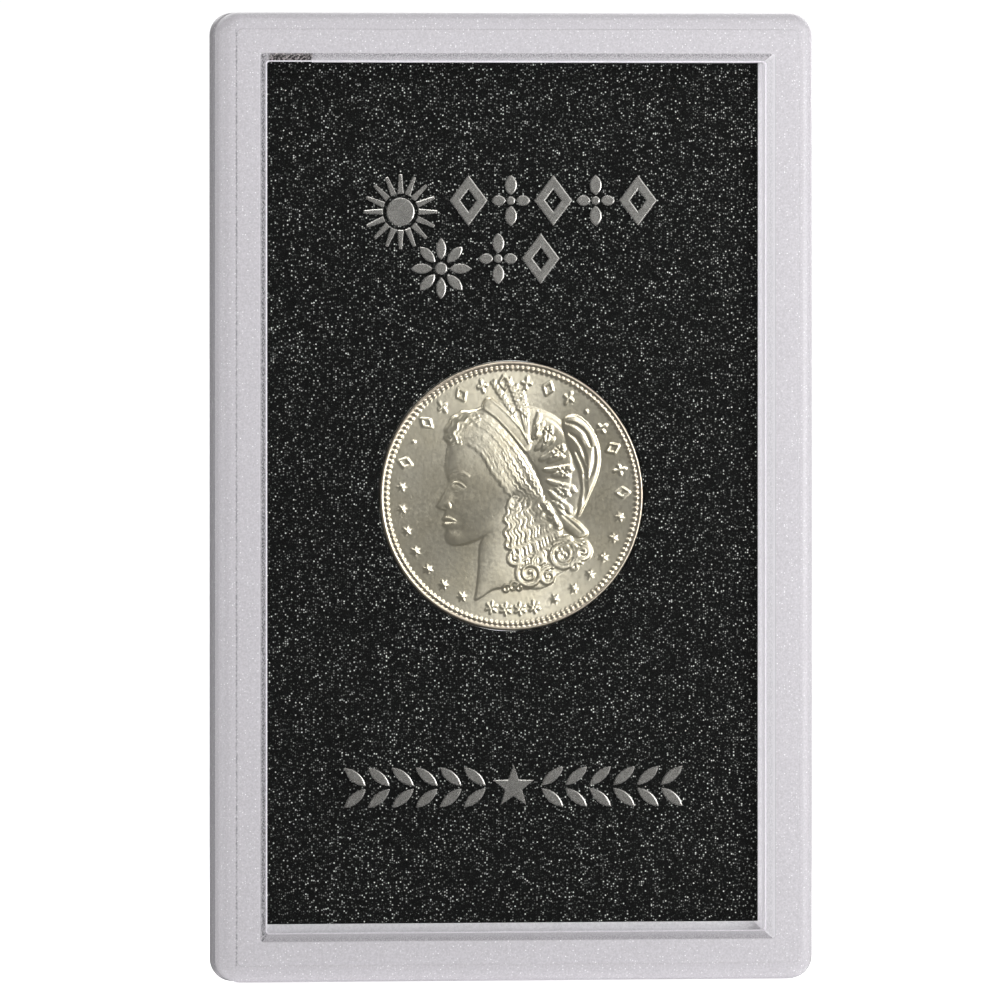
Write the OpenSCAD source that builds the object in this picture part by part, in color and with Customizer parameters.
// Sealed two-shell presentation case for one large silver coin.
// Standing upright: +Z is up, the front face looks towards -Y, units are millimetres.
// The origin is the middle of the bottom edge.

/* [Case] */
// Outer width of the case
case_w = 85.725; // [84:0.125:90]
// Outer height of the case
case_h = 136.525; // [134:0.125:142]
// Outer thickness of the two covers together
case_t = 9.525; // [9.3:0.1:11]
// Radius of the four vertical outer corners
corner_r = 3.2; // [2.8:0.1:4.5]
// Radius of the rounded rim round each outer face
rim_r = 1.9; // [1:0.1:2.4]
// Chamfer of each cover at the seam
seam_chamfer = 0.55; // [0.2:0.05:0.8]

/* [Window] */
// Depth of the window recess, and width of its sloping border
recess_d = 1.25; // [0.8:0.05:1.4]
// Gap between the window plate and the insert
window_gap = 0.45; // [0.45:0.05:0.6]
// Gap beside the insert in its pocket
side_gap = 0.55; // [0.3:0.05:0.7]
// Gap above and below a centred insert in its pocket
end_gap = 0.95; // [0.8:0.05:1.1]

/* [Insert] */
// Width of the black display insert
insert_w = 70.8; // [70:0.1:71.2]
// Height of the black display insert
insert_h = 121.4; // [120.6:0.1:121.8]
// Thickness of the insert
insert_t = 2.6; // [2.4:0.1:2.8]
// Distance of the insert above the middle of its pocket
insert_up = 0.55; // [0:0.05:0.7]
// Width of the locating tab
tab_w = 6.1; // [5:0.1:9]
// Height of the locating tab above the insert
tab_h = 1.4; // [0.8:0.1:1.5]

/* [Coin] */
// Diameter of the coin
coin_d = 38.1; // [37:0.1:38.6]
// Thickness of the coin at its rim
coin_t = 2.4; // [2:0.1:2.6]
// Radial clearance of the coin in its seat
seat_gap = 0.07; // [0.05:0.01:0.1]
// Coin centre, to the right of the case centre
coin_x = -0.2; // [-1:0.1:1]
// Coin centre, above the case centre
coin_up = 0.1; // [-1:0.1:1]
// Width of the raised rim
coin_rim = 1.0; // [0.6:0.1:1.4]
// Depth of the fields below the rim
field_depth = 0.2; // [0.19:0.01:0.3]

/* [Raised marks] */
// Height of the foil-topped marks above the insert
mark_t = 0.35; // [0.2:0.05:0.4]
// Line width of the open lozenges
lozenge_line = 1.25; // [0.8:0.05:1.5]

/* [Hidden] */
$fn = 96;
eps = 0.01;
half_t = case_t / 2;
window_floor = half_t - recess_d;
pocket_d = insert_t / 2;
ledge_top = pocket_d + window_gap;
ledge_lap = 0.5;
pocket_w = insert_w + 2 * side_gap;
pocket_h = insert_h + 2 * end_gap;
recess_w = pocket_w + 2 * recess_d;
recess_h = pocket_h + 2 * recess_d;
ledge_w = insert_w - 2 * ledge_lap;
ledge_h = insert_h - 2 * (ledge_lap + insert_up);
tab_x = 0.3 - insert_w / 2;
tab_gap = 0.15;
slot_top = insert_up + insert_h / 2 + tab_h + tab_gap;
weld_in = 1.7;
weld_out = 0.4;
weld_t = 0.3;
case_mid = case_h / 2;
insert_mid = case_mid + insert_up;
coin_r = coin_d / 2;
coin_z = case_mid + coin_up;
seat_r = coin_r + seat_gap;
seat_bevel = 0.3;
relief_low = 0.1;
relief_high = 0.18;
field_y = coin_t / 2 - field_depth;
star_ring_r = 15.9;
star_r = 0.85;
star_step = 14.2;
wreath_r = 10.5;
wreath_pairs = 9;
burst_x = -16.3;
burst_up = 40.2;
burst_r = 5.3;
burst_rays = 16;
bloom_x = -10.45;
bloom_up = 32.2;
bloom_r = 4.35;
bloom_petals = 8;
row_pitch = 6.12;
row_half = 3.6;
upper_x = -6.5;
upper_up = 41.8;
upper_count = 5;
second_x = -2.2;
second_up = 33.6;
second_count = 2;
lower_up = -41;
lower_half = 3.1;
lower_pairs = 6;
lower_pitch = 3.45;
leaf_l = 4.1;
leaf_w = 1.45;
leaf_lean = 40;

// ---- flat shapes ----

// A leaf with two pointed ends, standing on its lower tip.
module leaf(length, width) {
    arc_r = (length * length + width * width) / (4 * width);
    translate([0, length / 2])
        intersection() {
            translate([arc_r - width / 2, 0]) circle(arc_r);
            translate([width / 2 - arc_r, 0]) circle(arc_r);
        }
}

// Two leaves leaning apart from a common stem, with a gap between their tips.
module leaf_pair(length, width, lean) {
    tip_gap = 0.2;
    for (side = [-1, 1])
        translate([side * tip_gap, 0]) rotate(-side * lean) leaf(length, width);
}

// A five-pointed star with one point up.
module star(r) {
    inner = r * 0.42;
    polygon([for (i = [0:9]) (i % 2 == 0 ? r : inner) * [sin(36 * i), cos(36 * i)]]);
}

module lozenge(half_w, half_h) {
    polygon([[half_w, 0], [0, half_h], [-half_w, 0], [0, -half_h]]);
}

// A lozenge drawn as an even line.
module open_lozenge(half_w, half_h, line) {
    side = norm([half_w, half_h]);
    difference() {
        lozenge(half_w, half_h);
        lozenge(half_w - line * side / half_h, half_h - line * side / half_w);
    }
}

// Four leaves round a dot.
module four_leaves(half_w, half_h) {
    hub = 0.75;
    for (turn = [0, 180])
        rotate(turn) translate([0, hub]) leaf(half_h - hub, 1.7);
    for (turn = [90, 270])
        rotate(turn) translate([0, hub]) leaf(half_w - hub, 1.5);
    circle(0.6);
}

// A disc with tapering rays.
module sunburst(r, rays) {
    circle(0.38 * r);
    for (i = [0:rays - 1])
        rotate(360 * i / rays)
            polygon([[-0.085 * r, 0.48 * r], [0.085 * r, 0.48 * r], [0.03 * r, r], [-0.03 * r, r]]);
}

// Petals round a disc.
module bloom(r, petals) {
    circle(0.2 * r);
    for (i = [0:petals - 1])
        rotate(360 * i / petals)
            translate([0, 0.28 * r]) leaf(0.72 * r, 0.33 * r);
}

// ---- turning a flat shape to face the front or the back ----

// Child drawn in X and Y, lying on the insert and raised towards the front.
module on_insert(x, up) {
    translate([x, -pocket_d, case_mid + up])
        rotate([90, 0, 0]) linear_extrude(mark_t) children();
}

module face_front() { translate([0, 0, case_mid]) rotate([90, 0, 0]) children(); }
module face_back() { translate([0, 0, case_mid]) rotate([90, 0, 180]) children(); }

// ---- cover, drawn with its seam on Z = 0 and its outer face up ----

// Section of the outer border: X runs outwards from the corner's centre line.
module border_section() {
    difference() {
        union() {
            square([corner_r, half_t - rim_r]);
            square([corner_r - rim_r, half_t]);
            intersection() {
                translate([corner_r - rim_r, half_t - rim_r]) circle(rim_r);
                square([corner_r, half_t]);
            }
        }
        translate([corner_r - weld_in, -eps]) square([weld_in + eps, weld_t + eps]);
        polygon([[corner_r - seam_chamfer, weld_t], [corner_r, weld_t + seam_chamfer],
                 [corner_r + 1, weld_t + seam_chamfer], [corner_r + 1, weld_t]]);
    }
}

// The section swept round a rectangle with corner centres at the given half sizes.
module sweep_round(half_x, half_y) {
    for (side = [0, 180])
        rotate(side) {
            translate([half_x, half_y, 0]) rotate([90, 0, 0])
                linear_extrude(2 * half_y) children();
            translate([-half_x, half_y, 0]) rotate([90, 0, 90])
                linear_extrude(2 * half_x) children();
            translate([half_x, half_y, 0]) rotate_extrude(angle = 90) children();
            translate([-half_x, half_y, 0]) rotate([0, 0, 90]) rotate_extrude(angle = 90) children();
        }
}

// A block whose four sides slope outwards as it rises.
module sloping_block(low_w, low_h, high_w, high_h, rise) {
    intersection() {
        rotate([90, 0, 0]) linear_extrude(high_h + 2, center = true)
            polygon([[-low_w / 2, 0], [low_w / 2, 0], [high_w / 2, rise], [-high_w / 2, rise]]);
        rotate([90, 0, 90]) linear_extrude(high_w + 2, center = true)
            polygon([[-low_h / 2, 0], [low_h / 2, 0], [high_h / 2, rise], [-high_h / 2, rise]]);
    }
}

module centred_box(w, h, low, high) {
    translate([-w / 2, -h / 2, low]) cube([w, h, high - low]);
}

// side is 1 for the front cover and -1 for the back one, whose tab slot is mirrored.
module cover(side) {
    core_w = case_w - 2 * corner_r;
    core_h = case_h - 2 * corner_r;
    slot_x = side > 0 ? tab_x - tab_gap : -tab_x - tab_w - tab_gap;
    difference() {
        union() {
            centred_box(core_w, core_h, 0, half_t);
            sweep_round(core_w / 2, core_h / 2) border_section();
        }
        translate([0, 0, window_floor])
            sloping_block(pocket_w, pocket_h, recess_w + 2 * eps, recess_h + 2 * eps,
                          recess_d + eps);
        centred_box(pocket_w, pocket_h, -1, pocket_d);
        centred_box(ledge_w, ledge_h, pocket_d - eps, ledge_top);
        translate([slot_x, 0, -1])
            cube([tab_w + 2 * tab_gap, slot_top, 1 + pocket_d]);
    }
}

module front_cover() {
    color([0.86, 0.87, 0.89, 0.55]) face_front() cover(1);
}

module back_cover() {
    color([0.80, 0.81, 0.84, 0.55]) face_back() cover(-1);
}

// ---- weld bead in the rebate between the covers ----

module rounded_outline(inset) {
    r = corner_r - inset;
    w = case_w - 2 * inset;
    h = case_h - 2 * inset;
    square([w - 2 * r, h], center = true);
    square([w, h - 2 * r], center = true);
    for (x = [-1, 1], y = [-1, 1])
        translate([x * (w / 2 - r), y * (h / 2 - r)]) circle(r);
}

module weld_seam() {
    color([0.70, 0.71, 0.74])
        translate([0, 0, case_mid]) rotate([90, 0, 0])
            linear_extrude(2 * weld_t, center = true)
                difference() {
                    rounded_outline(weld_out);
                    rounded_outline(weld_in);
                }
}

// ---- black insert ----

module display_insert() {
    color([0.07, 0.08, 0.07])
        difference() {
            union() {
                translate([-insert_w / 2, -pocket_d, insert_mid - insert_h / 2])
                    cube([insert_w, insert_t, insert_h]);
                translate([tab_x, -pocket_d, insert_mid])
                    cube([tab_w, insert_t, insert_h / 2 + tab_h]);
            }
            translate([coin_x, 0, coin_z]) rotate([90, 0, 0]) {
                cylinder(r = seat_r, h = insert_t + 2, center = true);
                for (side = [0, 180])
                    rotate([side, 0, 0]) translate([0, 0, pocket_d - seat_bevel])
                        cylinder(r1 = seat_r, r2 = seat_r + seat_bevel + eps, h = seat_bevel + eps);
            }
        }
}

// ---- coin ----

module coin_blank() {
    rotate_extrude()
        polygon([[0, -field_y], [coin_r - coin_rim - 0.2, -field_y],
                 [coin_r - coin_rim, -coin_t / 2], [coin_r - 0.12, -coin_t / 2],
                 [coin_r, 0.12 - coin_t / 2], [coin_r, coin_t / 2 - 0.12],
                 [coin_r - 0.12, coin_t / 2], [coin_r - coin_rim, coin_t / 2],
                 [coin_r - coin_rim - 0.2, field_y], [0, field_y]]);
}

// A cap, hair, a plain oval face and a neck, looking left.
module head_outline() {
    translate([2.6, 4.2]) circle(7.4);
    translate([5.2, -4.2]) circle(5.6);
    translate([-3.2, 0.4]) scale([0.72, 1]) circle(8.2);
    polygon([[-8.3, 2], [-10, -1.2], [-8, -1.6]]);
    polygon([[-4, -5], [-2.2, -13], [2.2, -14.6], [7, -7]]);
}

module obverse() {
    linear_extrude(relief_high) head_outline();
    for (i = [0:6])
        rotate(90 + star_step * (i + 0.2)) translate([0, star_ring_r, 0])
            linear_extrude(relief_low) star(star_r);
    for (i = [0:5])
        rotate(-90 - star_step * (i + 1.2)) translate([0, star_ring_r, 0])
            linear_extrude(relief_low) star(star_r);
}

module reverse() {
    linear_extrude(relief_high) star(5);
    for (half = [-1, 1], i = [0:wreath_pairs - 1])
        rotate(180 + half * (16 + 15 * i)) translate([0, wreath_r, 0])
            linear_extrude(relief_low) rotate(half * 90) leaf_pair(2.6, 1.1, 35);
}

module coin() {
    color([0.78, 0.77, 0.73])
        translate([coin_x, 0, coin_z]) rotate([90, 0, 0]) {
            coin_blank();
            translate([0, 0, field_y - eps]) obverse();
            rotate([180, 0, 0]) translate([0, 0, field_y - eps]) reverse();
        }
}

// ---- raised foil marks ----

module emblem_foil() {
    color([0.55, 0.54, 0.52]) {
        on_insert(burst_x, burst_up) sunburst(burst_r, burst_rays);
        on_insert(bloom_x, bloom_up) bloom(bloom_r, bloom_petals);
    }
}

// Lozenges and four-leaf figures in turn.
module frieze(first_x, up, count, first) {
    for (i = [0:count - 1])
        on_insert(first_x + row_pitch * i, up)
            if ((i + first) % 2 == 0)
                open_lozenge(2.75, row_half, lozenge_line);
            else
                four_leaves(2.75, row_half);
}

module upper_line_foil() {
    color([0.56, 0.55, 0.53]) frieze(upper_x, upper_up, upper_count, 0);
}

module second_line_foil() {
    color([0.57, 0.56, 0.54]) frieze(second_x, second_up, second_count, 1);
}

// A star with pairs of leaves pointing away on both sides.
module lower_line_foil() {
    color([0.58, 0.57, 0.55])
        on_insert(0, lower_up) {
            star(lower_half);
            for (half = [-1, 1], i = [1:lower_pairs])
                translate([half * (0.6 + lower_pitch * i), 0])
                    rotate(-90 * half) leaf_pair(leaf_l, leaf_w, leaf_lean);
        }
}

front_cover();
back_cover();
weld_seam();
display_insert();
coin();
emblem_foil();
upper_line_foil();
second_line_foil();
lower_line_foil();
